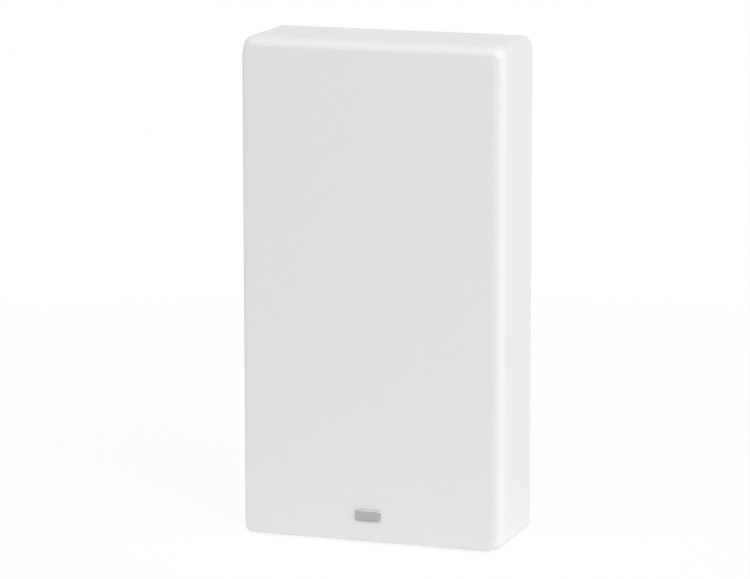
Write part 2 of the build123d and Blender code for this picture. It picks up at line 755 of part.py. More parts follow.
tweeter_boss_back = -tweeter_flange - tweeter_boss
tweeter_plate_front = tweeter_boss_back - dome_thickness
tweeter_magnet_front = tweeter_plate_front - tweeter_top_plate_thickness
tweeter_magnet_back = tweeter_magnet_front - tweeter_magnet_thickness
tweeter_pole_radius = tweeter_coil_radius - tweeter_coil_gap
tweeter_plate_hole_radius = tweeter_coil_radius + tweeter_coil_thickness + tweeter_coil_gap


def tweeter_faceplate():
    """Flange with a short flared waveguide, and a boss that clamps the dome's rim to the top plate."""
    boss_radius = tweeter_top_plate_radius
    rim_seat = dome_rim_radius + fit_gap
    flare_middle = ((waveguide_mouth_radius + waveguide_throat_radius) / 2, -waveguide_depth * 0.3)
    corners = profile_points([
        (waveguide_mouth_radius, 0), (tweeter_flange_radius, 0), (tweeter_flange_radius, -tweeter_flange),
        (boss_radius, -tweeter_flange), (boss_radius, tweeter_plate_front), (rim_seat, tweeter_plate_front),
        (rim_seat, tweeter_boss_back), (waveguide_throat_radius, tweeter_boss_back),
        (waveguide_throat_radius, -waveguide_depth)])
    section = [Line(a, b) for a, b in zip(corners, corners[1:])]
    section.append(ThreePointArc(corners[-1], *profile_points([flare_middle]), corners[0]))
    plate = revolve(make_face(section), Axis.Z)
    for x, y in tweeter_screws_at:
        plate -= Pos(x, y) * disc(tweeter_screw_head_radius + fit_gap, tweeter_screw_seat, overrun)
        plate -= Pos(x, y) * disc(tweeter_screw_shank_radius + fit_gap, -tweeter_flange - overrun, 0)
    return plate


def tweeter_gasket():
    foam = ring(tweeter_cutout_radius, tweeter_flange_radius, -tweeter_rebate, -tweeter_flange)
    for x, y in tweeter_screws_at:
        foam -= Pos(x, y) * disc(tweeter_screw_shank_radius + fit_gap, -tweeter_rebate - overrun, 0)
    return foam


def tweeter_dome():
    """Silk dome, its half-roll edge and its clamped rim, pressed from one piece."""
    low, high = tweeter_plate_front, tweeter_plate_front + dome_thickness
    roll_outer = dome_roll_radius
    middle, roll = dome_radius + dome_roll_width / 2, dome_roll_width / 2
    inner_roll = roll - dome_thickness
    outer = cap_arc(dome_radius, dome_rise, high)
    inner = cap_arc(dome_radius - dome_thickness, dome_rise, low)
    corners = profile_points([
        (dome_rim_radius, low), (dome_rim_radius, high), (roll_outer, high), (middle, high + roll), (dome_radius, high),
        (dome_radius - dome_thickness, low), (middle - inner_roll, low), (middle, high + inner_roll),
        (middle + inner_roll, low)])
    section = [Line(corners[0], corners[1]), Line(corners[1], corners[2]),
               ThreePointArc(corners[2], corners[3], corners[4]), outer, Line(outer @ 1, inner @ 1), inner,
               Line(corners[5], corners[6]), ThreePointArc(corners[6], corners[7], corners[8]),
               Line(corners[8], corners[0])]
    return revolve(make_face(section), Axis.Z)


def tweeter_voice_coil():
    top = tweeter_plate_front - glue_line
    outer = tweeter_coil_radius + tweeter_coil_thickness
    return ring(tweeter_coil_radius, outer, top - tweeter_coil_length, top)


def tweeter_top_plate():
    return ring(tweeter_plate_hole_radius, tweeter_top_plate_radius, tweeter_magnet_front, tweeter_plate_front)


def tweeter_magnet():
    return ring(tweeter_magnet_hole_radius, tweeter_magnet_radius, tweeter_magnet_back, tweeter_magnet_front)


def tweeter_yoke():
    back = tweeter_magnet_back - tweeter_yoke_thickness
    return turned([(0, tweeter_plate_front), (tweeter_pole_radius, tweeter_plate_front),
                   (tweeter_pole_radius, tweeter_magnet_back), (tweeter_yoke_radius, tweeter_magnet_back),
                   (tweeter_yoke_radius, back), (0, back)])


tweeter_pieces = {
    "faceplate": tweeter_faceplate, "gasket": tweeter_gasket, "dome": tweeter_dome,
    "voice_coil": tweeter_voice_coil, "top_plate": tweeter_top_plate, "magnet": tweeter_magnet, "yoke": tweeter_yoke}


def tweeter_screws():
    one = Pos(0, 0, tweeter_screw_seat) * screw(tweeter_screw_head_radius, tweeter_screw_head,
                                                tweeter_screw_shank_radius, tweeter_screw_length)
    return group([facing_front(0, front_y, middle_z) * Pos(x, y) * one for x, y in tweeter_screws_at])


# Terminals

terminal_floor_y = back_y - recess_depth
post_places = {"positive": -post_spacing / 2, "negative": post_spacing / 2}


def tapered_well(margin, bottom_y):
    """The cup's tapered well, from the back of the cabinet inwards, grown by a margin."""
    mouth = outline(recess_width + 2 * margin, recess_height + 2 * margin, terminal_corner_radius, z=terminal_z)
    return extrude(Plane.XZ.offset(-back_y) * mouth, amount=back_y - bottom_y, taper=recess_taper)


def terminal_cup():
    """Moulded cup let into the rear panel, with a floor that carries the posts."""
    flange = outline(terminal_flange_width, terminal_flange_height, terminal_corner_radius, z=terminal_z)
    cup = slab(flange, back_y, back_y - terminal_flange)
    cup += tapered_well(terminal_wall, terminal_floor_y - terminal_wall)
    cup -= tapered_well(0, terminal_floor_y)
    for x in post_places.values():
        cup -= facing_rear(x, terminal_floor_y, terminal_z) * disc(
            collar_spigot_radius + fit_gap, -terminal_wall - overrun, overrun)
    for x, z in terminal_screw_places():
        cup -= facing_rear(x, back_y, terminal_z + z) * countersink(
            terminal_screw_head_radius, terminal_screw_head, terminal_screw_shank_radius)
    return cup


def terminal_screws():
    body = turned([(0, 0), (terminal_screw_head_radius, 0), (terminal_screw_shank_radius, -terminal_screw_head),
                   (terminal_screw_shank_radius,
                    terminal_screw_shank_radius - terminal_screw_head - terminal_screw_length),
                   (0, -terminal_screw_head - terminal_screw_length)])
    body -= Pos(0, 0, -hex_socket_depth) * extrude(
        RegularPolygon(hex_socket_radius, 6), amount=hex_socket_depth + overrun)
    return group([facing_rear(x, back_y, terminal_z + z) * body for x, z in terminal_screw_places()])


shoulder_top = collar_thickness + post_shoulder
socket_bottom = shoulder_top + 2 * wire_hole_radius + socket_floor
washer_top = shoulder_top + glue_line + washer_thickness
knob_base = washer_top + glue_line


def post_collar():
    """Coloured insulator on the cup's floor, with a spigot through it."""
    return turned([(post_radius + thread_gap, collar_thickness), (collar_radius, collar_thickness),
                   (collar_radius, 0), (collar_spigot_radius, 0), (collar_spigot_radius, -terminal_wall),
                   (post_radius + thread_gap, -terminal_wall)])


def post():
    """Threaded stud with a shoulder, a plug socket in its end and a hole across it for bare wire."""
    top, tail = post_height, -post_tail
    stud = turned([(0, tail), (post_radius, tail), (post_radius, collar_thickness),
                   (post_shoulder_radius, collar_thickness), (post_shoulder_radius, shoulder_top),
                   (post_radius, shoulder_top), (post_radius, top), (socket_radius, top),
                   (socket_radius, socket_bottom), (0, socket_bottom)])
    hole = Pos(0, 0, shoulder_top + wire_hole_radius) * Rot(0, 90, 0) * Cylinder(
        wire_hole_radius, 2 * post_radius + 2 * overrun)
    return stud - hole


def post_washer():
    return ring(post_radius + thread_gap, washer_radius, shoulder_top + glue_line, washer_top)


def post_knob():
    """Fluted clamping knob, screwed down on its washer."""
    knob = disc(knob_radius, knob_base, knob_base + knob_height)
    knob = chamfer(knob.edges().sort_by(Axis.Z)[-1], knob_chamfer)
    for x, y in round_the_circle(knob_flutes, knob_radius + knob_flute_radius / 2, first=0.0):
        knob -= Pos(x, y) * disc(knob_flute_radius, knob_base + knob_chamfer, knob_base + knob_height + overrun)
    return knob - disc(post_radius + thread_gap, knob_base - overrun, knob_base + knob_height + overrun)


post_pieces = {"collar": post_collar, "post": post, "washer": post_washer, "knob": post_knob}


def post_nuts():
    nut = extrude(RegularPolygon(nut_across_flats / 2, 6, major_radius=False), amount=-nut_thickness)
    nut -= disc(post_radius + thread_gap, -nut_thickness - overrun, overrun)
    return group([facing_rear(x, terminal_floor_y - terminal_wall, terminal_z) * nut for x in post_places.values()])


# Crossover on the inside of the rear panel: a coil, two capacitors and a second coil in a row

row_parts = [woofer_coil_radius, capacitor_radius, capacitor_radius, tweeter_coil_ring_radius]
board_width = 2 * board_margin + 2 * sum(row_parts) + (len(row_parts) - 1) * part_gap

board_back_y = panel_y - spacer_height
board_front_y = board_back_y - board_thickness


def row_places():
    """Centres of the parts in the row, from the left."""
    places, edge = [], board_margin - board_width / 2
    for radius in row_parts:
        places.append(edge + radius)
        edge += 2 * radius + part_gap
    return places


def crossover_board():
    board = slab(outline(board_width, board_height, board_hole_inset / 2, z=board_z), board_back_y, board_front_y)
    for x, z in board_screw_places():
        board -= facing_front(x, board_front_y, board_z + z) * disc(
            board_screw_shank_radius + fit_gap, -board_thickness - overrun, overrun)
    return board


def crossover_spacers():
    spacer = ring(board_screw_shank_radius + fit_gap, spacer_radius, 0, spacer_height)
    return group([facing_front(x, panel_y, board_z + z) * spacer for x, z in board_screw_places()])


def crossover_screws():
    one = screw(board_screw_head_radius, board_screw_head, board_screw_shank_radius, board_screw_length)
    return group([facing_front(x, board_front_y, board_z + z) * one for x, z in board_screw_places()])


def wound_coil(radius, hole, height, place, rise=0.0):
    coil = ring(hole, radius, seat_gap, height)
    coil = fillet(coil.edges(), coil_edge_radius)
    return facing_front(place, board_front_y, board_z + rise) * coil


def woofer_inductor():
    return wound_coil(woofer_coil_radius, woofer_coil_hole_radius, woofer_coil_height, row_places()[0])


def tweeter_inductor():
    return wound_coil(tweeter_coil_ring_radius, tweeter_coil_ring_hole_radius, tweeter_coil_ring_height,
                      row_places()[-1], tweeter_coil_rise)


def crossover_capacitors():
    """Film capacitors lying side by side."""
    can = Rot(90, 0, 0) * Cylinder(capacitor_radius, capacitor_length)
    can = fillet(can.edges(), capacitor_edge_radius)
    return group([facing_front(x, board_front_y, board_z) * Pos(0, 0, capacitor_radius + seat_gap) * can
                  for x in row_places()[1:-1]])


def crossover_resistor():
    """Cast block under the second coil."""
    drop = tweeter_coil_ring_radius + part_gap + resistor_width / 2 - tweeter_coil_rise
    block = Box(resistor_length, resistor_width, resistor_height, align=(Align.CENTER, Align.CENTER, Align.MIN))
    return facing_front(row_places()[-1], board_front_y, board_z - drop) * Pos(0, 0, seat_gap) * block


# Every piece by its own name

single_pieces = [
    cabinet, rear_panel, wall_bumpers, wadding, keyhole_screws, grille_frame, grille_cloth, grille_pegs, grille_cups,
    grille_badge, woofer_screws, tweeter_screws, terminal_cup, terminal_screws, post_nuts, crossover_board,
    crossover_spacers, crossover_screws, woofer_inductor, tweeter_inductor, crossover_capacitors, crossover_resistor]


def all_pieces():
    pieces = {make.__name__: make() for make in single_pieces}
    for side, x in keyhole_places().items():
        pieces[f"keyhole_plate_{side}"] = keyhole_plate(x)
    for name, make in woofer_pieces.items():
        shape = make()
        for level, centre in woofer_centres.items():
            pieces[f"{level}_woofer_{name}"] = facing_front(0, front_y, centre) * shape
    for name, make in tweeter_pieces.items():
        pieces[f"tweeter_{name}"] = facing_front(0, front_y, middle_z) * make()
    for name, make in post_pieces.items():
        shape = make()
        for sign, x in post_places.items():
            pieces[f"{sign}_{name}"] = facing_rear(x, terminal_floor_y, terminal_z) * shape
    return pieces


os.makedirs("parts", exist_ok=True)
for node, shape in all_pieces().items():
    export_step(shape, f"parts/{node}.step")
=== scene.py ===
"""A slim white on-wall speaker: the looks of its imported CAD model, in metres, in the same frame."""

import json
import math

import bpy
import numpy as np
from mathutils import Matrix, Vector, noise


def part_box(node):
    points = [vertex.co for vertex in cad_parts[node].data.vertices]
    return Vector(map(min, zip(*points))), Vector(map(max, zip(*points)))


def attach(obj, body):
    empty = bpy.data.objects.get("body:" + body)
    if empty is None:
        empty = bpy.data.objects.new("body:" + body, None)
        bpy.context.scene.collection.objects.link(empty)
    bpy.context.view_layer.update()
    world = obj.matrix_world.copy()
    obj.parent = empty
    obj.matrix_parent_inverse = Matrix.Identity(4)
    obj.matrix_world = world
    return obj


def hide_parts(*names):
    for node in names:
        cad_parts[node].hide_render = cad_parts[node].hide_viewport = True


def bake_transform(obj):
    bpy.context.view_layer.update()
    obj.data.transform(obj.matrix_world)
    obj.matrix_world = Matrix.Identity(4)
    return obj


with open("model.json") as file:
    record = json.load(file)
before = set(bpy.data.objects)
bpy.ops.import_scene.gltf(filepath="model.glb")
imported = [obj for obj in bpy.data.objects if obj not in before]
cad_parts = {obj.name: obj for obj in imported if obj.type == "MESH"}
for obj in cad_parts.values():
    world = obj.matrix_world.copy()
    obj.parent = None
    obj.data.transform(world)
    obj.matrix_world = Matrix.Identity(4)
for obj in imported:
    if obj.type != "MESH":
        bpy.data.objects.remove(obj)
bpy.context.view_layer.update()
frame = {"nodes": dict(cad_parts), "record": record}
scene = bpy.context.scene
MM = 0.001
WHITE = (1, 1, 1, 1)
QUARTER_TURN = math.pi / 2


# Materials

texture_span = (0.25, 0.75)  # where most of a texture's values lie
thread_sink = 0.45  # how far a woven thread drops between crossings, by share of its height


def grey(level):
    return (level, level, level)


def math_node(tree, operation, *values):
    """A Math node on up to three values, each a socket or a number."""
    node = tree.nodes.new("ShaderNodeMath")
    node.operation = operation
    for slot, value in zip(node.inputs, values):
        if isinstance(value, (int, float)):
            slot.default_value = value
        else:
            tree.links.new(value, slot)
    return node.outputs[0]


class Finish:
    """A Principled material that gains its detail from textures in the object's own space."""

    def __init__(self, name, colour, roughness, **sockets):
        self.name = name
        self.material = bpy.data.materials.new(name)
        self.material.use_nodes = True
        self.tree = self.material.node_tree
        self.nodes = self.tree.nodes
        self.links = self.tree.links
        self.shader = self.nodes["Principled BSDF"]
        self.space = self.nodes.new("ShaderNodeTexCoord").outputs["Object"]
        self.colour = colour
        self.set("Base Color", (*colour, 1))
        self.set("Roughness", roughness)
        for socket, value in sockets.items():
            self.set(socket.replace("_", " "), value)

    def set(self, socket, value):
        self.shader.inputs[socket].default_value = value

    def drive(self, socket, output):
        """Lets a texture set one of the shader's sockets."""
        self.links.new(output, self.shader.inputs[socket])
        return self

    def math(self, operation, *values):
        return math_node(self.tree, operation, *values)

    def axes(self, vector):
        """The coordinates of a vector, as sockets named X, Y and Z."""
        node = self.nodes.new("ShaderNodeSeparateXYZ")
        self.links.new(vector, node.inputs["Vector"])
        return node.outputs

    def stretched(self, scale):
        """The object's space scaled along its three axes, for grain that runs one way."""
        node = self.nodes.new("ShaderNodeMapping")
        node.inputs["Scale"].default_value = scale
        self.links.new(self.space, node.inputs["Vector"])
        return node.outputs["Vector"]

    def noise(self, size, detail=3.0, space=None):
        """Cloudy noise whose blobs are about size across, in metres."""
        node = self.nodes.new("ShaderNodeTexNoise")
        node.inputs["Scale"].default_value = 1 / size
        node.inputs["Detail"].default_value = detail
        self.links.new(space or self.space, node.inputs["Vector"])
        return node.outputs["Fac"]

    def cells(self, size):
        """Distance from the middle of packed cells about size across, in metres."""
        node = self.nodes.new("ShaderNodeTexVoronoi")
        node.inputs["Scale"].default_value = 1 / size
        self.links.new(self.space, node.inputs["Vector"])
        return node.outputs["Distance"]

    def ridges(self, steps):
        """Rounded ridges side by side, one for each whole step of a value."""
        return self.math("ABSOLUTE", self.math("SINE", self.math("MULTIPLY", steps, math.pi)))

    def weave(self, pitch, across, along):
        """Height of a plain weave of threads pitch apart, over two coordinates in metres."""
        u, v = (self.math("MULTIPLY", c, 1 / pitch) for c in (across, along))
        warp, weft = self.ridges(u), self.ridges(v)
        over = self.math("MULTIPLY", warp, self.math("MULTIPLY_ADD", weft, thread_sink, 1 - thread_sink))
        under = self.math("MULTIPLY", weft, self.math("MULTIPLY_ADD", warp, thread_sink, 1 - thread_sink))
        crossing = self.math("ADD", self.math("FLOOR", u), self.math("FLOOR", v))
        turn = self.math("FLOORED_MODULO", crossing, 2)
        return self.math("MULTIPLY_ADD", self.math("SUBTRACT", under, over), turn, over)

    def ramp(self, value, low, high):
        """A texture's values spread over low to high."""
        node = self.nodes.new("ShaderNodeMapRange")
        node.inputs["From Min"].default_value, node.inputs["From Max"].default_value = texture_span
        node.inputs["To Min"].default_value = low
        node.inputs["To Max"].default_value = high
        self.links.new(value, node.inputs["Value"])
        return node.outputs["Result"]

    def tint(self, value, dark, light=grey(1)):
        """Colours the surface between two multiples of its own colour."""
        node = self.nodes.new("ShaderNodeMix")
        node.data_type = "RGBA"
        for socket, shade in (("A", dark), ("B", light)):
            node.inputs[socket].default_value = (*[c * s for c, s in zip(self.colour, shade)], 1)
        self.links.new(self.ramp(value, 0, 1), node.inputs["Factor"])
        return self.drive("Base Color", node.outputs["Result"])

    def gloss(self, value, low, high):
        """Lets the roughness wander between two values."""
        return self.drive("Roughness", self.ramp(value, low, high))

    def relief(self, value, depth, strength):
        """Raises the surface by up to depth, in metres."""
        node = self.nodes.new("ShaderNodeBump")
        node.inputs["Strength"].default_value = strength
        node.inputs["Distance"].default_value = depth
        self.links.new(value, node.inputs["Height"])
        return self.drive("Normal", node.outputs["Normal"])


def lacquer():
    """Sprayed satin white on board, with the faint ripple of a sprayed coat."""
    finish = Finish("lacquer", (0.866, 0.856, 0.843), 0.46)
    finish.tint(finish.noise(90 * MM, detail=4), dark=grey(0.985))
    finish.gloss(finish.noise(25 * MM), low=0.42, high=0.5)
    return finish.relief(finish.noise(1.6 * MM, detail=2), depth=0.02 * MM, strength=0.35)


def grille_cloth():
    """Fine pale cloth, plainly woven, laid out by the flat cloth's own coordinates."""
    finish = Finish("grille_cloth", (0.822, 0.82, 0.836), 0.92, Sheen_Weight=1.0, Sheen_Roughness=0.6)
    layout = finish.nodes.new("ShaderNodeUVMap")
    layout.uv_map = "flat_cloth"
    flat = layout.outputs["UV"]
    place = finish.axes(flat)
    threads = finish.weave(0.55 * MM, place["X"], place["Y"])
    slubs = finish.noise(4 * MM, detail=5, space=flat)
    thread_share, slub_share = 0.75, 0.15
    # the weave's dips and crossings are painted darker than the thread tops, as painted shade between
    # threads; the slubs are the yarn's own uneven tone
    shade = finish.math("MULTIPLY_ADD", threads, thread_share, finish.math("MULTIPLY", slubs, slub_share))
    finish.tint(shade, dark=(0.78, 0.78, 0.785))
    return finish.relief(threads, depth=0.12 * MM, strength=0.35)


def frame_paint():
    """Pale paint on the grille's frame, a little uneven."""
    finish = Finish("frame_paint", grey(0.7), 0.6)
    finish.tint(finish.noise(14 * MM, detail=5), dark=(0.95, 0.95, 0.94))
    finish.gloss(finish.noise(6 * MM), low=0.52, high=0.68)
    return finish.relief(finish.noise(0.9 * MM, detail=4), depth=0.06 * MM, strength=0.5)


def moulded(name, colour, roughness, grain=0.5 * MM, depth=0.03 * MM, **sockets):
    """Moulded plastic or rubber, painted castings and film, with a fine grain."""
    finish = Finish(name, colour, roughness, **sockets)
    finish.tint(finish.noise(11 * MM, detail=4), dark=grey(0.88), light=grey(1.05))
    finish.gloss(finish.noise(5 * MM), roughness - 0.06, roughness + 0.06)
    return finish.relief(finish.cells(grain), depth, strength=0.4)


def metal(name, colour, roughness, squeeze=(1, 1, 1)):
    """Plated or polished metal with fine marks, which are squeezed along an axis to run across it."""
    finish = Finish(name, colour, roughness, Metallic=1.0)
    marks = finish.noise(0.8 * MM, detail=4, space=finish.stretched(squeeze))
    finish.tint(finish.noise(8 * MM, detail=4), dark=grey(0.9), light=grey(1.04))
    finish.gloss(marks, roughness - 0.05, roughness + 0.06)
    return finish.relief(marks, depth=0.004 * MM, strength=0.3)


def fibrous(name, colour, roughness, size, depth, dark, **sockets):
    """Paper, foam, wadding or a fired body: short fibres or grains, and small lumps."""
    finish = Finish(name, colour, roughness, **sockets)
    fibres = finish.noise(size, detail=8)
    finish.tint(fibres, grey(dark), light=grey(1.06))
    finish.gloss(finish.noise(size * 6), roughness - 0.04, roughness + 0.04)
    return finish.relief(fibres, depth, strength=0.6)


def wound(name, colour, roughness, pitch):
    """Enamelled wire wound side by side along the depth of the speaker."""
    finish = Finish(name, colour, roughness, Metallic=1.0)
    turns = finish.ridges(finish.math("MULTIPLY", finish.axes(finish.space)["Y"], 1 / pitch))
    # the grooves between turns are painted darker and the crests a little lighter, as painted shade and
    # painted highlight on the wire
    finish.tint(turns, dark=(0.45, 0.42, 0.4), light=grey(1.08))
    finish.gloss(finish.noise(3 * MM), roughness - 0.05, roughness + 0.08)
    return finish.relief(turns, depth=0.25 * MM, strength=0.8)


def woven(name, colour, roughness, pitch, **sockets):
    """Stiffened cloth whose threads run across and up the front view."""
    finish = Finish(name, colour, roughness, **sockets)
    place = finish.axes(finish.space)
    threads = finish.weave(pitch, place["X"], place["Z"])
    # the weave's dips are painted darker and the thread tops a little lighter, as painted shade and
    # painted highlight on the threads
    finish.tint(threads, dark=grey(0.55), light=grey(1.1))
    finish.gloss(finish.noise(4 * MM), roughness - 0.06, roughness + 0.06)
    return finish.relief(threads, depth=0.1 * MM, strength=0.6)


finishes = {finish.name: finish for finish in (
    lacquer(),
    grille_cloth(),
    frame_paint(),
    moulded("peg_plastic", (0.75, 0.75, 0.74), 0.45),
    moulded("cup_rubber", grey(0.035), 0.8),
    metal("badge_chrome", (0.46, 0.46, 0.47), 0.14),
    moulded("bumper_rubber", grey(0.36), 0.75, depth=0.05 * MM),
    fibrous("wadding", (0.82, 0.82, 0.79), 0.95, 2.5 * MM, 1.5 * MM, dark=0.8, Sheen_Weight=0.3),
    metal("black_steel", (0.055, 0.055, 0.058), 0.42),
    metal("zinc_steel", (0.6, 0.61, 0.63), 0.3, squeeze=(1, 1, 6)),
    moulded("cup_plastic", (0.025, 0.025, 0.026), 0.52, grain=0.7 * MM, depth=0.06 * MM),
    metal("gold_brass", (0.83, 0.6, 0.24), 0.18, squeeze=(1, 8, 1)),
    moulded("red_plastic", (0.52, 0.015, 0.012), 0.28, Coat_Weight=0.2),
    moulded("black_plastic", (0.02, 0.02, 0.021), 0.28, Coat_Weight=0.2),
    woven("board", (0.035, 0.16, 0.07), 0.4, pitch=0.5 * MM),
    moulded("spacer_plastic", (0.74, 0.73, 0.68), 0.5, Subsurface_Weight=0.1),
    wound("copper", (0.72, 0.34, 0.16), 0.3, pitch=0.9 * MM),
    moulded("capacitor_film", (0.62, 0.44, 0.06), 0.38, grain=2 * MM, depth=0.08 * MM),
    fibrous("resistor_ceramic", (0.76, 0.74, 0.68), 0.85, 0.9 * MM, 0.08 * MM, dark=0.88),
    fibrous("gasket_foam", grey(0.035), 0.95, 0.7 * MM, 0.2 * MM, dark=0.5),
    woven("dome_silk", (0.03, 0.03, 0.034), 0.6, pitch=0.35 * MM, Coat_Weight=0.15),
    wound("coil_wire", (0.6, 0.34, 0.18), 0.35, pitch=0.3 * MM),
    fibrous("ferrite", (0.06, 0.06, 0.064), 0.6, 0.6 * MM, 0.03 * MM, dark=0.7),
    moulded("basket_paint", (0.03, 0.03, 0.031), 0.5, grain=0.9 * MM, depth=0.05 * MM),
    moulded("surround_rubber", (0.022, 0.022, 0.023), 0.55, depth=0.015 * MM),
    fibrous("cone_paper", (0.04, 0.04, 0.043), 0.66, 1.1 * MM, 0.08 * MM, dark=0.65, Coat_Weight=0.1),
    woven("spider_cloth", (0.5, 0.33, 0.1), 0.85, pitch=0.6 * MM),
)}


def dress(obj, slot):
    """Gives an object the finish of a material slot, and no other."""
    obj.data.materials.clear()
    obj.data.materials.append(finishes[slot].material)


slots = {part["node"]: part["material_slot"] for part in frame["record"]["subparts"]}
for node, obj in frame["nodes"].items():
    dress(obj, slots[node])


# Meshes


def piece(name, points, faces, slot):
    """A smooth mesh piece with the finish of one material slot."""
    mesh = bpy.data.meshes.new(name)
    mesh.from_pydata([tuple(p) for p in points], [], faces)
    mesh.validate()
    mesh.update()
    mesh.shade_smooth()
    obj = bpy.data.objects.new(name, mesh)
    scene.collection.objects.link(obj)
    dress(obj, slot)
    return obj


def strip(first, second):
    """Faces between two closed rows of points, given by number. A point that comes twice counts once."""
    faces = []
    for i in range(len(first)):
        j = (i + 1) % len(first)
        corners = dict.fromkeys((second[i], second[j], first[j], first[i]))
        if len(corners) > 2:
            faces.append(tuple(corners))
    return faces


# Grille cloth: one sheet drawn over the frame and turned in behind it

cloth_corner = 6 * MM  # radius of the grille's corners, seen from the front
cloth_edge = 2.5 * MM  # radius from the front into the sides
cloth_fold = 0.6 * MM  # radius from the sides into the turned-in edge
cloth_turn_in = 8 * MM
cloth_thickness = 0.45 * MM
cloth_pleat = 0.22 * MM  # depth of the gathers at the corners
cloth_gathers = 4  # at each corner
cloth_gather_fade = 0.8  # share of a gather's depth that is gone at the cloth's inner edge
cloth_step = 9 * MM  # about the size of the faces on the front
cloth_corner_steps, cloth_edge_steps, cloth_fold_steps = 10, 6, 3
cloth_side_rows = (0.35, 0.7, 1.0)  # by share of the side's depth
cloth_turn_in_rows = (0.3, 0.65, 1.0)  # by share of the way in


def cloth_rim(columns, rows):
    """The points round the edge of the front's grid, with more of them fanned out at its corners.

    Each has its row and column in the grid, its way out, its mitre and its share of the pleats.
    """
    sides = (
        ([(r, columns) for r in range(rows + 1)], (1, 0), (0, 1)),
        ([(rows, columns - c) for c in range(columns + 1)], (0, 1), (-1, 0)),
        ([(rows - r, 0) for r in range(rows + 1)], (-1, 0), (0, -1)),
        ([(0, c) for c in range(columns + 1)], (0, -1), (1, 0)))
    rim = []
    for places, out, ahead in sides:
        out, ahead = Vector(out), Vector(ahead)
        rim.append((places[0], out, out - ahead, 0.0))
        rim += [(place, out, out, 0.0) for place in places[1:-1]]
        rim.append((places[-1], out, out + ahead, 0.0))
        for i in range(1, cloth_corner_steps):
            share = i / cloth_corner_steps
            bend = share * QUARTER_TURN
            gather = math.sin(share * math.pi * cloth_gathers) ** 2
            rim.append((places[-1], out * math.cos(bend) + ahead * math.sin(bend), out + ahead, gather))
    return rim


def cloth_profile(front, back):
    """The rows of the cloth from its flat front to its turned-in edge.

    Each has its reach from the core, its depth, its distance along the cloth and its share of the pleats.
    """
    flat = cloth_corner - cloth_edge
    rows = [(flat, front, flat, 0.0)]
    for i in range(1, cloth_edge_steps + 1):
        bend = i / cloth_edge_steps * QUARTER_TURN
        depth = front + cloth_edge * (1 - math.cos(bend))
        rows.append((flat + cloth_edge * math.sin(bend), depth, flat + cloth_edge * bend, 0.0))
    side_start, along = rows[-1][1:3]
    side = back - cloth_fold - side_start
    for share in cloth_side_rows:
        rows.append((cloth_corner, side_start + share * side, along + share * side, share))
    along += side
    for i in range(1, cloth_fold_steps + 1):
        bend = i / cloth_fold_steps * QUARTER_TURN
        reach = cloth_corner - cloth_fold * (1 - math.cos(bend))
        depth = back - cloth_fold * (1 - math.sin(bend))
        rows.append((reach, depth, along + cloth_fold * bend, 1.0))
    along = rows[-1][2]
    inward = cloth_turn_in - cloth_fold
    for share in cloth_turn_in_rows:
        reach = cloth_corner - cloth_fold - share * inward
        rows.append((reach, back, along + share * inward, 1 - cloth_gather_fade * share))
    return rows


def stretched_cloth():
    """Lays a grid over the front and carries it round the rim, with the flat cloth's places as UV map."""
    low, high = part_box("grille_cloth")
    middle = (low.z + high.z) / 2
    half_width, half_height = high.x - cloth_corner, (high.z - low.z) / 2 - cloth_corner
    columns, rows = round(2 * half_width / cloth_step), round(2 * half_height / cloth_step)
    xs = np.linspace(-half_width, half_width, columns + 1)
    zs = np.linspace(-half_height, half_height, rows + 1)
    points, flat_places = [], []

    def add(x, y, z, u, v):
        points.append((x, y, middle + z))
        flat_places.append((u, v))
        return len(points) - 1

    grid = [[add(x, low.y, z, x, z) for x in xs] for z in zs]
    faces = [(grid[r][c], grid[r][c + 1], grid[r + 1][c + 1], grid[r + 1][c])
             for r in range(rows) for c in range(columns)]
    rim = cloth_rim(columns, rows)
    profile = cloth_profile(low.y, high.y)
    row = [grid[r][c] for (r, c), *_ in rim]
    for reach, y, along, pleat in profile:
        last, row = row, []
        for (r, c), out, mitre, gather in rim:
            core = Vector((xs[c], zs[r]))
            place = core + (out * (reach - cloth_pleat * pleat * gather) if reach > 0 else mitre * reach)
            flat = core + out * along
            row.append(add(place.x, y, place.y, flat.x, flat.y))
        faces += strip(last, row)
    cloth = piece("grille_cloth_stretched", points, faces, "grille_cloth")
    layer = cloth.data.uv_layers.new(name="flat_cloth")
    for loop in cloth.data.loops:
        layer.data[loop.index].uv = flat_places[loop.vertex_index]
    shell = cloth.modifiers.new("thickness", "SOLIDIFY")
    shell.thickness = cloth_thickness
    shell.offset = -1
    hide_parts("grille_cloth")
    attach(cloth, "grille")


stretched_cloth()


# Wadding: a lumpy pad along each side wall

pad_step = 6 * MM  # about the size of a face
pad_least_steps = 4
pad_rounding = 0.12  # the larger, the more the pad draws in towards its edges
pad_rounding_power = 6  # high, so that the rounding keeps to the edges
pad_hollow = 2.7 * MM  # depth of the deepest hollows
pad_lumps = 55  # to the metre
pad_octaves = (1.0, 2.0, 4)  # how fast the lumps fade as they get finer, by what step, and how often


def pad_point(unit, size, centre, seed):
    """Rounds a point of the unit cube into a crowned pad, and presses soft hollows into it."""
    powers = [u ** pad_rounding_power for u in unit]
    draw = [math.sqrt(1 - (sum(powers) - power) * pad_rounding) for power in powers]
    soft = Vector([u * d for u, d in zip(unit, draw)])
    place = Vector([c + s * u for c, s, u in zip(centre, size, soft)])
    lump = 0.5 + 0.5 * noise.fractal(place * pad_lumps + Vector((seed, 0, 0)), *pad_octaves)
    return place - soft * pad_hollow * max(0.0, min(1.0, lump))


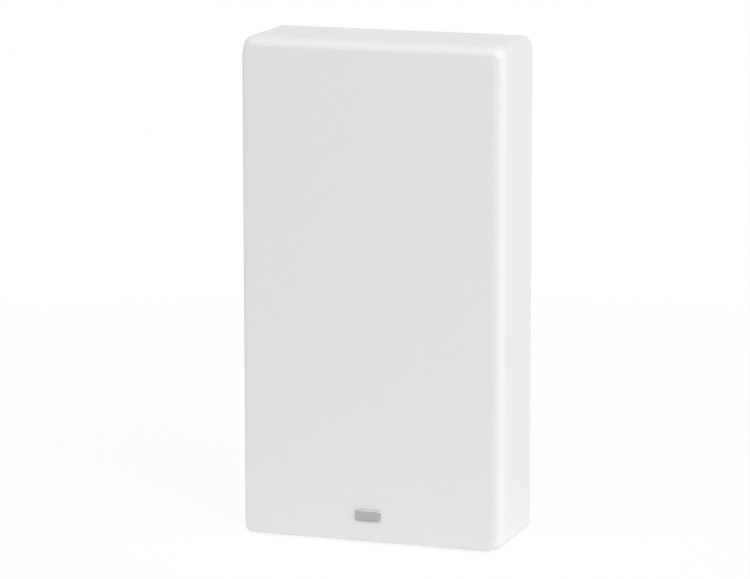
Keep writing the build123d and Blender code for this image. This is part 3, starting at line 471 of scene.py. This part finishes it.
def wadding_pad(name, low, high, seed):
    """A crowned pad inside its box, made of the six sides of a cube that share their edges."""
    size = (high - low) / 2
    centre = (high + low) / 2
    counts = [max(pad_least_steps, round(2 * s / pad_step)) for s in size]
    numbers, points, faces = {}, [], []
    for axis in range(3):
        a, b = (axis + 1) % 3, (axis + 2) % 3
        for end in (-1, 1):
            grid = []
            for i in range(counts[a] + 1):
                line = []
                for j in range(counts[b] + 1):
                    unit = [0.0, 0.0, 0.0]
                    unit[axis], unit[a], unit[b] = end, 2 * i / counts[a] - 1, 2 * j / counts[b] - 1
                    key = tuple(round(u, 6) for u in unit)
                    if key not in numbers:
                        numbers[key] = len(points)
                        points.append(pad_point(Vector(unit), size, centre, seed))
                    line.append(numbers[key])
                grid.append(line)
            for i in range(counts[a]):
                for j in range(counts[b]):
                    face = (grid[i][j], grid[i + 1][j], grid[i + 1][j + 1], grid[i][j + 1])
                    faces.append(face if end > 0 else face[::-1])
    pad = piece(name, points, faces, "wadding")
    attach(pad, "cabinet")
    return pad


pad_low, pad_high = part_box("wadding")
pad_inner = min(abs(v.co.x) for v in frame["nodes"]["wadding"].data.vertices)
left_pad = wadding_pad("wadding_left", pad_low, Vector((-pad_inner, pad_high.y, pad_high.z)), seed=3.1)
right_pad = wadding_pad("wadding_right", Vector((pad_inner, pad_low.y, pad_low.z)), pad_high, seed=8.7)
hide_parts("wadding")
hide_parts("wadding")


# Woofer suspension: rings between the basket and the moving cone

ring_steps = 144  # around
roll_inner, roll_outer = 40.5 * MM, 48.5 * MM
roll_steps = 24
surround_lip = 37.5 * MM  # inner radius, on the cone's rim
surround_thickness = 0.8 * MM
spider_hub = 12.85 * MM  # inner radius, round the coil's former
spider_first, spider_last = 15.4 * MM, 30.6 * MM  # the waves lie between these radii
spider_waves = 4
spider_steps = 64
spider_thickness = 0.5 * MM
spider_solid_thickness = 0.6 * MM  # of the CAD node, whose depth gives the height of the waves


def turned_ring(name, section, y, z, slot):
    """A closed section of (radius, distance out of the front), turned about the driver's axis."""
    points = []
    for i in range(ring_steps):
        turn = 2 * math.pi * i / ring_steps
        points += [(r * math.cos(turn), y - out, z + r * math.sin(turn)) for r, out in section]
    count = len(section)
    rows = [[i * count + k for k in range(count)] for i in range(ring_steps)]
    faces = []
    for i in range(ring_steps):
        faces += strip(rows[i], rows[(i + 1) % ring_steps])
    return piece(name, points, faces, slot)


def hang(ring):
    """Bakes a ring's placement into its mesh, with its inner radius at the cone and its outer radius at
    the basket.
    """
    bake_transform(ring)


def surround(node, z):
    """A half roll of rubber between a lip on the basket and a lip on the cone."""
    low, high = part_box(node)
    rise = high.y - low.y
    middle, roll = (roll_inner + roll_outer) / 2, (roll_outer - roll_inner) / 2
    thick = surround_thickness
    bore, height = roll - thick, rise - thick
    arc = [i / roll_steps * math.pi for i in range(roll_steps + 1)]
    over = [(middle + roll * math.cos(a), max(thick, rise * math.sin(a))) for a in arc]
    under = [(middle + bore * math.cos(a), max(0.0, height * math.sin(a))) for a in reversed(arc)]
    section = [(high.x, 0), (high.x, thick), *over, (surround_lip, thick), (surround_lip, 0), *under]
    ring = turned_ring(node + "_roll", section, high.y, z, "surround_rubber")
    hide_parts(node)
    hang(ring)


def spider(node, z):
    """A disc of cloth with ring-shaped waves, between the basket's ledge and the coil's former."""
    low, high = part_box(node)
    crest = (high.y - low.y - spider_solid_thickness) / 2
    line = [(spider_hub, 0.0)]
    for i in range(spider_steps + 1):
        share = i / spider_steps
        radius = spider_first + (spider_last - spider_first) * share
        line.append((radius, crest * math.sin(share * spider_waves * 2 * math.pi)))
    line.append((high.x, 0.0))
    half = spider_thickness / 2
    section = [(r, h + half) for r, h in line] + [(r, h - half) for r, h in reversed(line)]
    ring = turned_ring(node + "_cloth", section, (low.y + high.y) / 2, z, "spider_cloth")
    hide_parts(node)
    hang(ring)


for level in ("upper", "lower"):
    rim_low, rim_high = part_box(f"{level}_woofer_surround")
    axis_z = (rim_low.z + rim_high.z) / 2
    surround(f"{level}_woofer_surround", axis_z)
    spider(f"{level}_woofer_spider", axis_z)


# Stage, light and camera

floor_reach = 9  # metres each way
speaker_middle = Vector((0, 0, 190)) * MM
photo_yaw, photo_pitch, photo_roll = (math.radians(angle) for angle in (18.93, 10.788, -0.067))
photo_distance = 3.1304
photo_sensor, photo_lens = 36, 199.69  # in millimetres, as Blender takes them
photo_target = Vector((0, -0.95, 190)) * MM
photo_offset_right, photo_offset_up = -7.212 * MM, -1.567 * MM  # from the target to the picture's middle


def white_to_camera(tree, plain, white):
    """Mixes two shaders, so that white can show to the camera, in reflections and through glass.

    Returns the mix and the value, 0 or 1, that says whether a ray is one of these.
    """
    path = tree.nodes.new("ShaderNodeLightPath").outputs
    seen = path["Is Camera Ray"]
    for ray in ("Is Glossy Ray", "Is Transmission Ray"):
        seen = math_node(tree, "MAXIMUM", seen, path[ray])
    mix = tree.nodes.new("ShaderNodeMixShader")
    tree.links.new(plain, mix.inputs[1])
    tree.links.new(white, mix.inputs[2])
    return mix, seen


def studio_floor(glow, shadow):
    """A pale floor that glows a little round the speaker, as a lit sweep does, and keeps its shadow."""
    mesh = bpy.data.meshes.new("floor")
    corners = [(x * floor_reach, y * floor_reach, 0) for x, y in ((-1, -1), (1, -1), (1, 1), (-1, 1))]
    mesh.from_pydata(corners, [], [(0, 1, 2, 3)])
    floor = bpy.data.objects.new("floor", mesh)
    scene.collection.objects.link(floor)
    material = bpy.data.materials.new("floor")
    material.use_nodes = True
    tree = material.node_tree
    plain = tree.nodes["Principled BSDF"]
    plain.inputs["Base Color"].default_value = (*grey(0.85), 1)
    plain.inputs["Roughness"].default_value = 0.9
    plain.inputs["Specular IOR Level"].default_value = 0.1
    plain.inputs["Emission Color"].default_value = WHITE
    white = tree.nodes.new("ShaderNodeEmission")
    mix, seen = white_to_camera(tree, plain.outputs["BSDF"], white.outputs["Emission"])
    space = tree.nodes.new("ShaderNodeTexCoord")
    gradient = tree.nodes.new("ShaderNodeTexGradient")
    gradient.gradient_type = "SPHERICAL"
    tree.links.new(space.outputs["Object"], gradient.inputs["Vector"])
    near = gradient.outputs["Fac"]
    tree.links.new(math_node(tree, "MULTIPLY", near, glow), plain.inputs["Emission Strength"])
    clean = math_node(tree, "MULTIPLY_ADD", near, -shadow, 1.0)
    tree.links.new(math_node(tree, "MULTIPLY", seen, clean), mix.inputs[0])
    tree.links.new(mix.outputs[0], tree.nodes["Material Output"].inputs["Surface"])
    mesh.materials.append(material)


def studio_world(strength):
    """Even light from all round, behind a white backdrop."""
    world = bpy.data.worlds.new("studio")
    scene.world = world
    world.use_nodes = True
    tree = world.node_tree
    plain = tree.nodes["Background"]
    plain.inputs["Color"].default_value = WHITE
    plain.inputs["Strength"].default_value = strength
    white = tree.nodes.new("ShaderNodeBackground")
    white.inputs["Color"].default_value = WHITE
    mix, seen = white_to_camera(tree, plain.outputs["Background"], white.outputs["Background"])
    tree.links.new(seen, mix.inputs[0])
    tree.links.new(mix.outputs[0], tree.nodes["World Output"].inputs["Surface"])


def soft_lamp(name, place, size, watts):
    """A square soft box aimed at the middle of the speaker."""
    light = bpy.data.lights.new(name, "AREA")
    light.shape = "SQUARE"
    light.size = size
    light.energy = watts
    lamp = bpy.data.objects.new(name, light)
    lamp.location = place
    lamp.rotation_euler = (speaker_middle - Vector(place)).to_track_quat("-Z", "Y").to_euler()
    scene.collection.objects.link(lamp)


def photo_camera():
    """The long lens of the photograph, a little above the speaker and to its right."""
    right = Vector((math.cos(photo_yaw), math.sin(photo_yaw), 0))
    level_back = Vector((math.sin(photo_yaw), -math.cos(photo_yaw), 0))
    back = level_back * math.cos(photo_pitch) + Vector((0, 0, math.sin(photo_pitch)))
    up = back.cross(right)
    across = right * math.cos(photo_roll) + up * math.sin(photo_roll)
    upright = up * math.cos(photo_roll) - right * math.sin(photo_roll)
    place = photo_target + right * photo_offset_right + up * photo_offset_up + back * photo_distance
    data = bpy.data.cameras.new("camera")
    data.sensor_fit = "HORIZONTAL"
    data.sensor_width = photo_sensor
    data.lens = photo_lens
    camera = bpy.data.objects.new("camera", data)
    turn = Matrix((across, upright, back)).transposed().to_4x4()
    camera.matrix_world = Matrix.Translation(place) @ turn
    scene.collection.objects.link(camera)
    bpy.context.scene.camera = camera


studio_floor(glow=0.285, shadow=0.18)
studio_world(0.608)
soft_lamp("key_right", (1.8, -1.33, 1.52), size=1.8, watts=26.5)
soft_lamp("high_front", (-0.6, -1.5, 2.2), size=1.6, watts=7.8)
photo_camera()
bpy.context.scene.view_settings.view_transform = "Standard"
